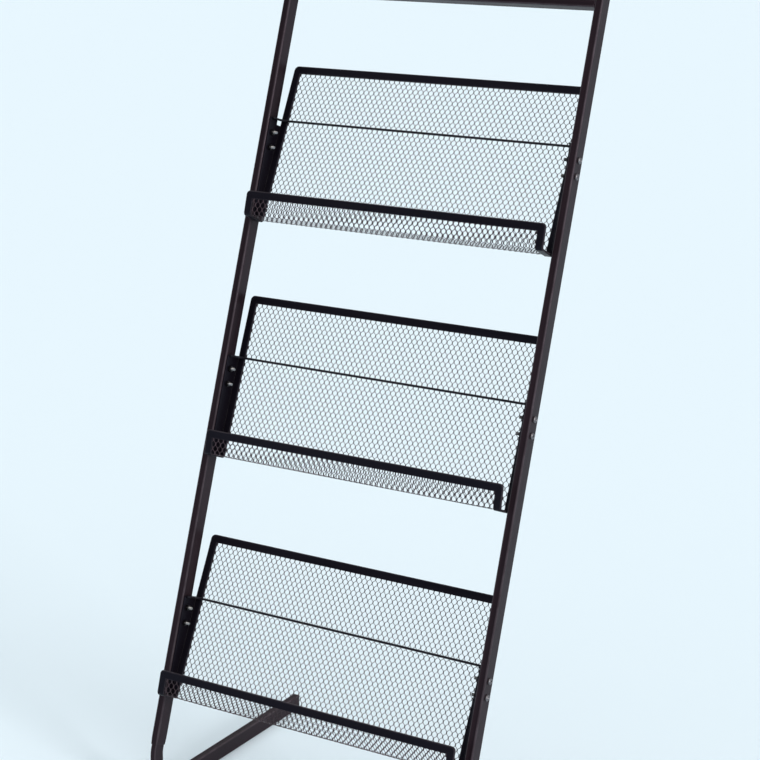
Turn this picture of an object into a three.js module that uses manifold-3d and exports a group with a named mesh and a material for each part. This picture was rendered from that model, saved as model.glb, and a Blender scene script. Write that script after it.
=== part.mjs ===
// A floor-standing rack for periodicals: a leaning tube frame with three folded mesh trays.
// Millimetres, +Z up, +X to the right as seen from the front, +Y to the back.
import * as THREE from "three";
import { mergeVertices } from "three/addons/utils/BufferGeometryUtils.js";
import Module from "manifold-3d";

// Frame
const leanAngle = THREE.MathUtils.degToRad(19.3);
const uprightSpacing = 440;
const uprightStart = 80;
const uprightEnd = 1100;
const railStart = 1057;
const tubeWidth = 10;
const tubeDepth = 20;
const tubeWall = 1;
const tubeCorner = 1.5;
const boreCorner = 0.5;

// Feet
const footFront = 6;
const footRear = 351;
const insertBend = 40;
const insertReach = 60;
const insertLead = 3;
const plugCap = 2;
const plugReach = 12;

// Trays
const lowestBolt = 257;
const trayPitch = 309;
const panelDepth = 23.5;
const panelAbove = 94;
const panelBelow = 119;
const pocketDepth = 27;
const lipHeight = 32;
const lipFlare = THREE.MathUtils.degToRad(10);
const rimWidth = 10;
const rimThickness = 3;
const foldInside = 2;
const bendArm = 1;
const rimCorner = 6;
const lipCorner = 5;
const sheetThickness = 1.2;
const grooveReach = 7;

// How each tray hangs on its tabs: its tilt behind the uprights, its height over the upper bolts
// and the height of its wire over them
const trayFits = {
  lower: { tilt: THREE.MathUtils.degToRad(7.8), lift: 3.2, wireRise: 13.5 },
  middle: { tilt: THREE.MathUtils.degToRad(3.3), lift: 4.8, wireRise: 16.5 },
  upper: { tilt: THREE.MathUtils.degToRad(7.2), lift: 0.5, wireRise: 18.5 },
};

// Diamond openings of the sheet
const diamondPitch = 48;
const diamondRise = 66;
const strandWidth = 4;

// Side tabs, back wire and fasteners
const tabThickness = 1.5;
const tabOverWire = 1.5;
const tabBelow = 90;
const tabSetback = 2;
const tabCorner = 4;
const wireDiameter = 3;
const wireBend = 9;
const wireSetback = 5;
const boltSpacing = 19.5;
const boltDiameter = 4;
const boltTip = 4.4;
const headDiameter = 8;
const headHeight = 2.4;
const headFlat = 4.8;
const headSide = 0.8;
const nutAcross = 7;
const nutHeight = 3.2;

// Gaps, and how many steps each kind of curve has
const touchGap = 0.3;
const boltPlay = 0.4;
const mergeDistance = 1e-4;
const roundSteps = 8;
const bendSteps = 4;
const foldSteps = 2;
const cornerSteps = 1;

// Sizes that follow from the ones above
const innerHalf = (uprightSpacing - tubeWidth) / 2;
const outerHalf = (uprightSpacing + tubeWidth) / 2;
const tabOuter = innerHalf - touchGap;
const tabInner = tabOuter - tabThickness;
const trayHalf = tabInner - touchGap;
const panelHeight = panelAbove + panelBelow;
const boltHole = boltDiameter + 2 * boltPlay;
const sheetInset = (rimThickness - sheetThickness) / 2;
const sheetHalf = trayHalf - rimWidth + grooveReach - touchGap;
const meshHalf = trayHalf - rimWidth;
const floorFront = -pocketDepth - rimThickness;
const foldRadius = rimThickness + foldInside;
const foldReach = (foldRadius * (1 - Math.sin(lipFlare))) / Math.cos(lipFlare);
const frameTop = uprightEnd + touchGap + plugCap;
const rackRear = frameTop * Math.sin(leanAngle) + tubeDepth * Math.cos(leanAngle);
const rackMiddle = (footFront + Math.max(footRear, rackRear)) / 2;

const wasm = await Module();
wasm.setup();

const coatedSteel = new THREE.MeshStandardMaterial({ color: 0x2b2629, roughness: 0.5, metalness: 0.3 });
const meshSteel = new THREE.MeshStandardMaterial({ color: 0x262225, roughness: 0.55, metalness: 0.3 });
const zincSteel = new THREE.MeshStandardMaterial({ color: 0xb8babd, roughness: 0.3, metalness: 0.9 });
const plugPlastic = new THREE.MeshStandardMaterial({ color: 0x37363a, roughness: 0.6, metalness: 0 });

// A closed geometry as a solid that can be joined and cut
function solid(geometry) {
  const bare = geometry.clone();
  bare.deleteAttribute("normal");
  bare.deleteAttribute("uv");
  const merged = mergeVertices(bare, mergeDistance);
  const vertProperties = merged.attributes.position.array;
  const triVerts = new Uint32Array(merged.index.array);
  return new wasm.Manifold(new wasm.Mesh({ numProp: 3, vertProperties, triVerts }));
}

function geometryOf(body) {
  const { vertProperties, triVerts } = body.getMesh();
  const geometry = new THREE.BufferGeometry();
  geometry.setAttribute("position", new THREE.BufferAttribute(vertProperties, 3));
  geometry.setIndex(new THREE.BufferAttribute(triVerts, 1));
  const flat = geometry.toNonIndexed();
  flat.computeVertexNormals();
  return flat;
}

function extrude(shape, depth, curveSegments = bendSteps) {
  return new THREE.ExtrudeGeometry(shape, { depth, bevelEnabled: false, curveSegments });
}

function box(x0, x1, y0, y1, z0, z1) {
  const geometry = new THREE.BoxGeometry(x1 - x0, y1 - y0, z1 - z0);
  return geometry.translate((x0 + x1) / 2, (y0 + y1) / 2, (z0 + z1) / 2);
}

// Turns an outline drawn in depth and height, extruded across, to stand in the rack's own axes
const sideOn = new THREE.Matrix4().makeBasis(
  new THREE.Vector3(0, 1, 0),
  new THREE.Vector3(0, 0, 1),
  new THREE.Vector3(1, 0, 0),
);

// A rectangle about the origin with round corners
function roundRectangle(path, width, height, radius) {
  const x = width / 2;
  const y = height / 2;
  path.moveTo(x - radius, -y);
  path.absarc(x - radius, radius - y, radius, -Math.PI / 2, 0);
  path.absarc(x - radius, y - radius, radius, 0, Math.PI / 2);
  path.absarc(radius - x, y - radius, radius, Math.PI / 2, Math.PI);
  path.absarc(radius - x, radius - y, radius, Math.PI, Math.PI * 1.5);
  path.closePath();
  return path;
}

// The frame's tube, standing on its end, with its depth along Y
function tube(length) {
  const section = roundRectangle(new THREE.Shape(), tubeWidth, tubeDepth, tubeCorner);
  const boreWidth = tubeWidth - 2 * tubeWall;
  const boreDepth = tubeDepth - 2 * tubeWall;
  section.holes.push(roundRectangle(new THREE.Path(), boreWidth, boreDepth, boreCorner));
  return extrude(section, length, cornerSteps);
}

// An end plug: a cap over the tube's end at z = 0 and a tongue down its bore
function plug() {
  const capShape = roundRectangle(new THREE.Shape(), tubeWidth, tubeDepth, tubeCorner);
  const cap = extrude(capShape, plugCap, cornerSteps);
  const shrink = 2 * (tubeWall + touchGap);
  const tongueShape = roundRectangle(new THREE.Shape(), tubeWidth - shrink, tubeDepth - shrink, tubeWall);
  const tongue = extrude(tongueShape, plugReach + plugCap, cornerSteps).translate(0, 0, -plugReach);
  return geometryOf(solid(cap.translate(0, 0, touchGap)).add(solid(tongue)));
}

// A bolt hole right through an upright, across it
function boltBore(height) {
  const hole = new THREE.CylinderGeometry(boltHole / 2, boltHole / 2, 2 * tubeWidth, roundSteps);
  return solid(hole.rotateZ(Math.PI / 2).translate(0, tubeDepth / 2, height));
}

const rack = new THREE.Group();
const frame = new THREE.Group();
frame.rotation.x = -leanAngle;
frame.position.y = -rackMiddle;
const base = new THREE.Group();
base.position.y = -rackMiddle;
rack.add(frame, base);

function place(group, name, geometry, material) {
  const mesh = new THREE.Mesh(geometry, material);
  mesh.name = name;
  group.add(mesh);
  return mesh;
}

const sides = { left: -1, right: 1 };
const boltHeights = Object.keys(trayFits).map((_, index) => lowestBolt + index * trayPitch);

function upright() {
  let body = solid(tube(uprightEnd - uprightStart).translate(0, tubeDepth / 2, uprightStart));
  for (const height of boltHeights) {
    body = body.subtract(boltBore(height)).subtract(boltBore(height - boltSpacing));
  }
  return geometryOf(body);
}

// The bar that stands on a foot, bends into the lean and reaches up the upright's bore
function footInsert() {
  const thickness = tubeWidth - 2 * (tubeWall + touchGap);
  const half = tubeDepth / 2 - tubeWall - touchGap;
  const along = new THREE.Vector2(Math.sin(leanAngle), Math.cos(leanAngle));
  const back = new THREE.Vector2(Math.cos(leanAngle), -Math.sin(leanAngle));
  const axis = (distance) => along.clone().multiplyScalar(distance).addScaledVector(back, tubeDepth / 2);
  const bendStart = axis(uprightStart - insertLead);
  const centre = bendStart.clone().addScaledVector(back, insertBend);
  const top = axis(uprightStart + insertReach);
  const bottom = tubeDepth + touchGap;
  const topFront = top.clone().addScaledVector(back, -half);
  const topRear = top.clone().addScaledVector(back, half);
  const outline = new THREE.Shape();
  outline.moveTo(centre.x - insertBend - half, bottom);
  outline.lineTo(centre.x - insertBend + half, bottom);
  outline.absarc(centre.x, centre.y, insertBend - half, Math.PI, Math.PI - leanAngle, true);
  outline.lineTo(topRear.x, topRear.y);
  outline.lineTo(topFront.x, topFront.y);
  outline.absarc(centre.x, centre.y, insertBend + half, Math.PI - leanAngle, Math.PI, false);
  outline.closePath();
  const bar = extrude(outline, thickness).translate(0, 0, -thickness / 2);
  return bar.applyMatrix4(sideOn);
}

for (const [side, sign] of Object.entries(sides)) {
  const x = (sign * uprightSpacing) / 2;
  place(frame, `${side}_upright`, upright(), coatedSteel).position.x = x;
  const topPlug = place(frame, `${side}_upright_plug`, plug(), plugPlastic);
  topPlug.position.set(x, tubeDepth / 2, uprightEnd);
  place(base, `${side}_foot_insert`, footInsert(), coatedSteel).position.x = x;

  const barStart = footFront + plugCap + touchGap;
  const barEnd = footRear - plugCap - touchGap;
  const bar = place(base, `${side}_foot_bar`, tube(barEnd - barStart), coatedSteel);
  bar.rotation.x = Math.PI / 2;
  bar.position.set(x, barEnd, tubeDepth / 2);
  const frontPlug = place(base, `${side}_foot_front_plug`, plug(), plugPlastic);
  frontPlug.rotation.x = Math.PI / 2;
  frontPlug.position.set(x, barStart, tubeDepth / 2);
  const rearPlug = place(base, `${side}_foot_rear_plug`, plug(), plugPlastic);
  rearPlug.rotation.x = -Math.PI / 2;
  rearPlug.position.set(x, barEnd, tubeDepth / 2);
}

const railLength = 2 * (innerHalf - touchGap);
const rail = place(frame, "top_rail", tube(railLength), coatedSteel);
rail.rotation.y = Math.PI / 2;
rail.position.set(-railLength / 2, tubeDepth / 2, railStart + tubeWidth / 2);

// A tray's own axes: X, depth behind the back panel's front face, and height up the panel.
// Each wall of the tray is drawn flat, with u across and v up from its fold, and then stood in place.
const backWall = new THREE.Matrix4().makeRotationX(Math.PI / 2);
backWall.setPosition(0, rimThickness, -panelBelow);
const floorWall = new THREE.Matrix4().makeTranslation(0, floorFront, -panelBelow);
const lipWall = new THREE.Matrix4().makeRotationX(Math.PI / 2 + lipFlare);
const lipFoot = rimThickness * Math.cos(lipFlare);
lipWall.setPosition(0, floorFront + lipFoot, rimThickness * Math.sin(lipFlare) - panelBelow);
const floorLength = pocketDepth + 2 * rimThickness;

// The centres of the two bends, and a point of the lip, seen from the side
const rearFold = new THREE.Vector2(rimThickness - foldRadius, foldRadius - panelBelow);
const frontFold = new THREE.Vector2(floorFront + foldReach, foldRadius - panelBelow);
function lipPoint(along, inward) {
  const y = floorFront - along * Math.sin(lipFlare) + inward * Math.cos(lipFlare);
  const z = along * Math.cos(lipFlare) + inward * Math.sin(lipFlare) - panelBelow;
  return [y, z];
}

// The folded tray seen from the side, between two depths below its outer face
function folded(near, far, top, lipEnd) {
  const lipTurn = Math.PI + lipFlare;
  const shape = new THREE.Shape();
  shape.moveTo(rimThickness - far, top);
  shape.lineTo(rimThickness - near, top);
  shape.absarc(rearFold.x, rearFold.y, foldRadius - near, 0, -Math.PI / 2, true);
  shape.absarc(frontFold.x, frontFold.y, foldRadius - near, Math.PI * 1.5, lipTurn, true);
  shape.lineTo(...lipPoint(lipEnd, near));
  shape.lineTo(...lipPoint(lipEnd, far));
  shape.absarc(frontFold.x, frontFold.y, foldRadius - far, lipTurn, Math.PI * 1.5);
  shape.absarc(rearFold.x, rearFold.y, foldRadius - far, -Math.PI / 2, 0);
  shape.closePath();
  return shape;
}

function across(shape, x0, x1) {
  return solid(extrude(shape, x1 - x0, foldSteps).translate(0, 0, x0).applyMatrix4(sideOn));
}

function wallBox(wall, half, low, high, near, far) {
  return solid(box(-half, half, low, high, near, far).applyMatrix4(wall));
}

// What a round corner takes off both upper corners of a wall
function withRoundCorners(body, wall, half, height, radius) {
  let result = body;
  for (const sign of Object.values(sides)) {
    const centre = sign * (half - radius);
    const outside = sign * (half + radius);
    const shape = new THREE.Shape();
    shape.moveTo(outside, height - radius);
    shape.lineTo(sign * half, height - radius);
    shape.absarc(centre, height - radius, radius, sign > 0 ? 0 : Math.PI, Math.PI / 2, sign < 0);
    shape.lineTo(centre, height + radius);
    shape.lineTo(outside, height + radius);
    shape.closePath();
    const waste = extrude(shape, 3 * rimThickness, foldSteps).translate(0, 0, -rimThickness);
    result = result.subtract(solid(waste.applyMatrix4(wall)));
  }
  return result;
}

// The channel round the sheet's edge: two folded side strips, two top strips and the slot inside them
const slotEdge = rimWidth - grooveReach;
function trayRim() {
  const strip = folded(0, rimThickness, panelAbove, lipHeight);
  let body = across(strip, -trayHalf, -meshHalf).add(across(strip, meshHalf, trayHalf));
  body = body.add(wallBox(backWall, trayHalf, panelHeight - rimWidth, panelHeight, 0, rimThickness));
  body = body.add(wallBox(lipWall, trayHalf, lipHeight - rimWidth, lipHeight, 0, rimThickness));
  body = withRoundCorners(body, backWall, trayHalf, panelHeight, rimCorner);
  body = withRoundCorners(body, lipWall, trayHalf, lipHeight, lipCorner);
  const near = sheetInset - touchGap;
  const far = rimThickness - near;
  const half = sheetHalf + touchGap;
  let slot = across(folded(near, far, panelAbove - slotEdge, lipHeight - slotEdge), -half, half);
  slot = withRoundCorners(slot, backWall, half, panelHeight - slotEdge, rimCorner - slotEdge);
  slot = withRoundCorners(slot, lipWall, half, lipHeight - slotEdge, lipCorner - slotEdge);
  return geometryOf(body.subtract(slot));
}

// Keeps the part of an outline on one side of a line along u or v
function clip(points, axis, limit, keep) {
  const kept = [];
  points.forEach((point, index) => {
    const next = points[(index + 1) % points.length];
    const here = keep * (limit - point[axis]);
    const there = keep * (limit - next[axis]);
    if (here >= 0) kept.push(point);
    if (here * there < 0) kept.push(point.clone().lerp(next, here / (here - there)));
  });
  return kept;
}

// Rows of diamonds cut through one wall of the sheet, each row shifted by half a pitch
function pierced(sheet, wall, openLow, openHigh, rise) {
  const columns = Math.ceil(meshHalf / diamondPitch);
  const rows = Math.ceil((openHigh - openLow) / rise);
  const middle = (openLow + openHigh) / 2;
  const shrink = strandWidth / Math.sin(Math.atan2(rise, diamondPitch)) / 2;
  const reach = diamondPitch / 2 - shrink;
  const climb = (reach * rise) / diamondPitch;
  const openings = [];
  for (let row = -rows; row <= rows; row += 1) {
    const shift = row % 2 === 0 ? 0 : diamondPitch / 2;
    const v = middle + (row * rise) / 2;
    for (let column = -columns - 1; column <= columns; column += 1) {
      const u = column * diamondPitch + shift;
      const diamond = [[reach, 0], [0, climb], [-reach, 0], [0, -climb]];
      let points = diamond.map(([du, dv]) => new THREE.Vector2(u + du, v + dv));
      points = clip(clip(points, "x", meshHalf, 1), "x", -meshHalf, -1);
      points = clip(clip(points, "y", openHigh, 1), "y", openLow, -1);
      const wideEnough = points.length > 2 && THREE.ShapeUtils.area(points) > strandWidth ** 2;
      if (wideEnough) openings.push(new THREE.Shape(points));
    }
  }
  const punch = extrude(openings, rimThickness).applyMatrix4(wall);
  return geometryOf(sheet.subtract(solid(punch)));
}

const sheetFar = rimThickness - sheetInset;
function backMesh() {
  const low = foldRadius + bendArm + touchGap;
  const high = panelHeight - slotEdge - touchGap;
  const flat = wallBox(backWall, sheetHalf, low, high, sheetInset, sheetFar);
  const sheet = withRoundCorners(flat, backWall, sheetHalf, high, rimCorner - slotEdge);
  return pierced(sheet, backWall, low + strandWidth, panelHeight - rimWidth, diamondRise);
}

function lipMesh() {
  const low = foldReach + bendArm + touchGap;
  const high = lipHeight - slotEdge - touchGap;
  const flat = wallBox(lipWall, sheetHalf, low, high, sheetInset, sheetFar);
  const sheet = withRoundCorners(flat, lipWall, sheetHalf, high, lipCorner - slotEdge);
  const openLow = low + strandWidth / 2;
  const openHigh = lipHeight - rimWidth;
  return pierced(sheet, lipWall, openLow, openHigh, openHigh - openLow);
}

// The floor wall carries both bends, up to where the back and the lip run straight
function floorMesh() {
  const profile = folded(sheetInset, sheetFar, rearFold.y + bendArm, foldReach + bendArm);
  const sheet = across(profile, -sheetHalf, sheetHalf);
  const openLow = foldReach + strandWidth / 2;
  const openHigh = floorLength - foldRadius - strandWidth / 2;
  return pierced(sheet, floorWall, openLow, openHigh, openHigh - openLow);
}

// A flat plate beside the upright whose rear edge follows the tilted panel
function sideTab({ tilt, lift, wireRise }) {
  const rear = (height) => panelDepth + rimThickness / Math.cos(tilt) + (height - lift) * Math.tan(tilt);
  const front = tabSetback;
  const top = wireRise + tabOverWire;
  const outline = new THREE.Shape();
  outline.moveTo(rear(-tabBelow), -tabBelow);
  outline.lineTo(rear(top), top);
  outline.absarc(front + tabCorner, top - tabCorner, tabCorner, Math.PI / 2, Math.PI);
  outline.absarc(front + tabCorner, tabCorner - tabBelow, tabCorner, Math.PI, Math.PI * 1.5);
  outline.closePath();
  for (const height of [0, -boltSpacing]) {
    const hole = new THREE.Path();
    hole.absarc(tubeDepth / 2, height, boltHole / 2, 0, Math.PI * 2, true);
    outline.holes.push(hole);
  }
  return extrude(outline, tabThickness).applyMatrix4(sideOn);
}

// A path with a ring of the section at each of its points and none between
class RingPath extends THREE.Curve {
  constructor(points) {
    super();
    this.points = points;
  }

  getPointAt(share) {
    return this.points[Math.round(share * (this.points.length - 1))].clone();
  }

  getTangentAt(share) {
    const last = this.points.length - 1;
    const here = Math.round(share * last);
    const from = this.points[Math.max(here - 1, 0)];
    const to = this.points[Math.min(here + 1, last)];
    return to.clone().sub(from).normalize();
  }
}

// A wire along the back panel's front face, with both ends bent forward along the tabs
function backWire({ tilt, lift, wireRise }) {
  const radius = wireDiameter / 2;
  const run = panelDepth + (wireRise - lift) * Math.tan(tilt) - (radius + touchGap) / Math.cos(tilt);
  const arm = tabInner - touchGap - radius;
  const points = [new THREE.Vector3(-arm, wireSetback, 0)];
  for (const [sign, from] of [[-1, Math.PI], [1, Math.PI / 2]]) {
    for (let step = 0; step <= bendSteps; step += 1) {
      const angle = from - (step / bendSteps) * (Math.PI / 2);
      const x = sign * (arm - wireBend) + wireBend * Math.cos(angle);
      points.push(new THREE.Vector3(x, run - wireBend + wireBend * Math.sin(angle), 0));
    }
  }
  points.push(new THREE.Vector3(arm, wireSetback, 0));
  const section = new THREE.Shape();
  section.absarc(0, 0, radius, 0, Math.PI * 2);
  const route = { steps: points.length - 1, extrudePath: new RingPath(points) };
  return new THREE.ExtrudeGeometry(section, { ...route, curveSegments: bendSteps, bevelEnabled: false });
}

// A button-head bolt along X: its head's seat is at x = 0, and its shank reaches in to -length
function bolt(length) {
  const shank = boltDiameter / 2;
  const head = headDiameter / 2;
  const profile = [
    new THREE.Vector2(0, -length),
    new THREE.Vector2(shank, -length),
    new THREE.Vector2(shank, 0),
    new THREE.Vector2(head, 0),
    new THREE.Vector2(head, headSide),
    new THREE.Vector2(headFlat / 2, headHeight),
    new THREE.Vector2(0, headHeight),
  ];
  return new THREE.LatheGeometry(profile, roundSteps).rotateZ(-Math.PI / 2);
}

function nut() {
  const hexagon = new THREE.Shape();
  const reach = nutAcross / Math.sqrt(3);
  for (let corner = 0; corner < 6; corner += 1) {
    const angle = (corner * Math.PI) / 3;
    const point = [reach * Math.cos(angle), reach * Math.sin(angle)];
    if (corner === 0) hexagon.moveTo(...point);
    else hexagon.lineTo(...point);
  }
  hexagon.closePath();
  const hole = new THREE.Path();
  hole.absarc(0, 0, boltHole / 2, 0, Math.PI * 2, true);
  hexagon.holes.push(hole);
  return extrude(hexagon, nutHeight).rotateY(-Math.PI / 2);
}

Object.entries(trayFits).forEach(([tray, fit], index) => {
  const level = new THREE.Group();
  level.position.z = boltHeights[index];
  frame.add(level);
  const tilted = new THREE.Group();
  tilted.position.set(0, panelDepth, fit.lift);
  tilted.rotation.x = -fit.tilt;
  level.add(tilted);

  place(tilted, `${tray}_rim`, trayRim(), coatedSteel);
  place(tilted, `${tray}_back_mesh`, backMesh(), meshSteel);
  place(tilted, `${tray}_floor_mesh`, floorMesh(), meshSteel);
  place(tilted, `${tray}_lip_mesh`, lipMesh(), meshSteel);
  place(level, `${tray}_wire`, backWire(fit), coatedSteel).position.z = fit.wireRise;

  const headSeat = outerHalf + touchGap;
  const nutSeat = tabInner - touchGap;
  const boltLength = headSeat - nutSeat + nutHeight + boltTip;
  for (const [side, sign] of Object.entries(sides)) {
    const turn = sign > 0 ? 0 : Math.PI;
    const tab = place(level, `${tray}_${side}_tab`, sideTab(fit), coatedSteel);
    tab.position.x = sign > 0 ? tabInner : -tabOuter;
    for (const [end, height] of [["top", 0], ["low", -boltSpacing]]) {
      const screw = place(level, `${tray}_${side}_${end}_bolt`, bolt(boltLength), zincSteel);
      screw.position.set(sign * headSeat, tubeDepth / 2, height);
      screw.rotation.z = turn;
      const lock = place(level, `${tray}_${side}_${end}_nut`, nut(), coatedSteel);
      lock.position.set(sign * nutSeat, tubeDepth / 2, height);
      lock.rotation.z = turn;
    }
  }
});

export default rack;
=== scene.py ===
import bpy
import bmesh
import math
import numpy as np
from mathutils import Matrix, Vector


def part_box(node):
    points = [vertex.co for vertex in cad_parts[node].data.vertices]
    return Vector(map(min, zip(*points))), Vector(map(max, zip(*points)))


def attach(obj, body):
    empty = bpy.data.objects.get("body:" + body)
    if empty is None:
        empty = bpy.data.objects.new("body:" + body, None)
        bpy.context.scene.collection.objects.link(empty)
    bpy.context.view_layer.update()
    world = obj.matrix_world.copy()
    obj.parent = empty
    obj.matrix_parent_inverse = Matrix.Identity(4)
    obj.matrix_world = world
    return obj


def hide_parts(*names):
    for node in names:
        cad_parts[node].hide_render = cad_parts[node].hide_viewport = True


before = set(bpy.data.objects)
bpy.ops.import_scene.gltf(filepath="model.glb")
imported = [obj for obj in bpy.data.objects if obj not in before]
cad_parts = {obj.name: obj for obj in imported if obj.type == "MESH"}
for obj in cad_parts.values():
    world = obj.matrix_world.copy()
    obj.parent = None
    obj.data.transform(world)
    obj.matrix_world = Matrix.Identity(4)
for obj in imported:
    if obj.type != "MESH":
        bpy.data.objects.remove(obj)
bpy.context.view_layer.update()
scene = bpy.context.scene
scene.view_settings.view_transform = "Standard"
mm = 0.001  # in metres
quarter = math.pi / 2
print("frame loaded,", len(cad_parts), "nodes")


class Field:  # a socket that can stand in an expression
    def __init__(self, board, socket):
        self.board, self.socket = board, socket

    def join(self, operation, first, second):
        return self.board.node("ShaderNodeMath", {"operation": operation}, {0: first, 1: second})

    def __add__(self, other):
        return self.join("ADD", self, other)

    def __radd__(self, other):
        return self.join("ADD", other, self)

    def __sub__(self, other):
        return self.join("SUBTRACT", self, other)

    def __rsub__(self, other):
        return self.join("SUBTRACT", other, self)

    def __mul__(self, other):
        return self.join("MULTIPLY", self, other)

    def __rmul__(self, other):
        return self.join("MULTIPLY", other, self)

    def __truediv__(self, other):
        return self.join("DIVIDE", self, other)

    def __rtruediv__(self, other):
        return self.join("DIVIDE", other, self)


class Board:  # a node tree whose nodes all come from one method
    def __init__(self, tree):
        self.tree = tree

    def node(self, kind, settings=None, sockets=None, output=0):
        made = self.tree.nodes.new(kind)
        for key, value in (settings or {}).items():
            setattr(made, key, value)
        for key, value in (sockets or {}).items():
            if isinstance(value, Field):
                self.tree.links.new(value.socket, made.inputs[key])
            else:
                made.inputs[key].default_value = value
        return Field(self, made.outputs[output]) if made.outputs else made

    def blend(self, share, first, second):  # two colours
        settings = {"data_type": "RGBA"}
        return self.node("ShaderNodeMix", settings, {0: share, 6: first, 7: second}, 2)

    def speckle(self, where, scale, detail=2.0):  # noise from 0 to 1
        return self.node("ShaderNodeTexNoise", None, {"Vector": where, "Scale": scale, "Detail": detail})

    def span(self, value, low, high, newLow, newHigh):
        sockets = {"Value": value, 1: low, 2: high, 3: newLow, 4: newHigh}
        return self.node("ShaderNodeMapRange", {"clamp": True}, sockets)

    def bump(self, height, strength, distance):
        sockets = {"Strength": strength, "Distance": distance, "Height": height}
        return self.node("ShaderNodeBump", None, sockets)

    def nearest(self, value):  # whole number
        return self.node("ShaderNodeMath", {"operation": "ROUND"}, {0: value})


def newFinish(name, fixed):  # a material with a bare shader whose steady values are set at once
    material = bpy.data.materials.new(name)
    material.use_nodes = True
    board = Board(material.node_tree)
    shader = material.node_tree.nodes["Principled BSDF"]
    for key, value in fixed.items():
        shader.inputs[key].default_value = value
    return material, board, shader


def feed(board, shader, links):
    for key, field in links.items():
        board.tree.links.new(field.socket, shader.inputs[key])


coat = {  # sizes of marks are given as how many go in a metre
    "deep": (0.0115, 0.0076, 0.0102, 1),  # plum-black of the powder coat
    "warm": (0.0230, 0.0150, 0.0185, 1),
    "thinCoatSheen": (0.0750, 0.0620, 0.0700, 1),  # lighter colour on rounded edges: partly coat drawn thin over an edge, partly a painted highlight
    "rough": (0.33, 0.47),
    "clouds": 9.0,
    "lines": (900.0, 3.0, 1.0),  # faint lines left by the rolls, along the piece
    "bands": (210.0, 1.4, 1.0),  # wider bands of thicker and thinner coat
    "mottle": 420.0,
    # size of the patches in which the edge colour, partly wear and partly painted highlight, comes and
    # goes
    "wearAndSheen": 60.0,
    "peel": 950.0,  # orange peel
    "grit": 3600.0,
    "bump": (0.35, 0.00005),
}
coatLooks = {  # shade: what each takes of the coat's colours; edges: how much the rounded edges take of the lighter edge colour, partly wear and partly a painted highlight
    "tube_coat": {
        "shade": (0.60, 0.51, 0.54, 1), "tint": (1.0, 0.74, 0.94, 1),
        "gloss": 0.165, "marks": 1.0, "edges": 0.6,
    },
    "rim_coat": {
        "shade": (0.29, 0.34, 0.44, 1), "tint": (0.68, 0.72, 1.0, 1),
        "gloss": 0.115, "marks": 0.5, "edges": 0.35,
    },
    "wire_coat": {
        "shade": (0.42, 0.50, 0.55, 1), "tint": (0.80, 0.84, 1.0, 1),
        "gloss": 0.2, "marks": 0.3, "edges": 0.0,
    },
}


def powderCoat(name, look):
    steady = {"Specular IOR Level": look["gloss"], "Specular Tint": look["tint"]}
    material, board, shader = newFinish(name, steady)
    here = board.node("ShaderNodeTexCoord", None, None, "Object")
    grain = board.node("ShaderNodeAttribute", {"attribute_name": "grain"}, None, "Vector")
    edge = board.node("ShaderNodeAttribute", {"attribute_name": "edge"}, None, "Fac")
    clouds = board.speckle(here, coat["clouds"], 4.0)
    fine = board.node("ShaderNodeMapping", None, {"Vector": grain, "Scale": coat["lines"]})
    lines = board.speckle(fine, 1.0, 3.0)
    broad = board.node("ShaderNodeMapping", None, {"Vector": grain, "Scale": coat["bands"]})
    bands = board.speckle(broad, 1.0, 2.0)
    mottle = board.speckle(here, coat["mottle"], 2.0)
    tone = board.span(clouds, 0.3, 0.7, 0.0, 0.4) + board.span(lines, 0.35, 0.65, 0.0, 0.3) * look["marks"]
    tone = tone + board.span(bands, 0.35, 0.65, -0.2, 0.7) * look["marks"]
    deep, warm = ([c * s for c, s in zip(coat[key], look["shade"])] for key in ("deep", "warm"))
    base = board.blend(tone, deep, warm)
    patches = board.span(board.speckle(here, coat["wearAndSheen"], 4.0), 0.25, 0.7, 0.45, 1.0)
    # rounded edges lighten in patches: partly thin, worn coat, partly a painted highlight for the light
    # line along the corners
    colour = board.blend(edge * patches * look["edges"], base, coat["thinCoatSheen"])
    rough = board.span(clouds, 0.25, 0.75, *coat["rough"])
    rough = rough - edge * 0.1 + board.span(mottle, 0.2, 0.8, -0.04, 0.04)
    marked = board.span(lines, 0.3, 0.7, -0.03, 0.05) + board.span(bands, 0.3, 0.7, -0.06, 0.08)
    rough = rough + marked * look["marks"]
    height = board.speckle(here, coat["peel"], 2.0) * 0.7 + board.speckle(here, coat["grit"], 1.0) * 0.3
    bump = board.bump(height, *coat["bump"])
    feed(board, shader, {"Base Color": colour, "Roughness": rough, "Normal": bump})
    return material


strandLook = {  # a thinner, redder coat on the mesh, where it gathers and dulls
    "cool": (0.0210, 0.0098, 0.0145, 1),
    "warm": (0.0470, 0.0240, 0.0335, 1),
    "gloss": 0.45,
    "rough": (0.42, 0.58),
    "clouds": 14.0,
    "drops": 700.0,
    "bump": (0.3, 0.00006),
}


def meshCoat(name, look):
    material, board, shader = newFinish(name, {"Specular IOR Level": look["gloss"]})
    here = board.node("ShaderNodeTexCoord", None, None, "Object")
    clouds = board.speckle(here, look["clouds"], 3.0)
    drops = board.speckle(here, look["drops"], 2.0)
    colour = board.blend(board.span(clouds, 0.3, 0.7, 0.0, 1.0), look["cool"], look["warm"])
    rough = board.span(drops, 0.2, 0.8, *look["rough"])
    bump = board.bump(drops, *look["bump"])
    feed(board, shader, {"Base Color": colour, "Roughness": rough, "Normal": bump})
    return material


plating = {"rough": (0.26, 0.38), "clouds": 260.0, "scratches": 2600.0, "bump": (0.2, 0.00003)}
platingLooks = {  # head: the tone of what faces out
    "zinc_plate": {
        "pale": (0.26, 0.26, 0.28, 1), "dull": (0.34, 0.33, 0.31, 1), "head": (0.17, 0.16, 0.17, 1),
    },
    "nut_black": {
        "pale": (0.030, 0.028, 0.030, 1), "dull": (0.055, 0.050, 0.053, 1), "head": (0.05, 0.05, 0.05, 1),
    },
}


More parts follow.
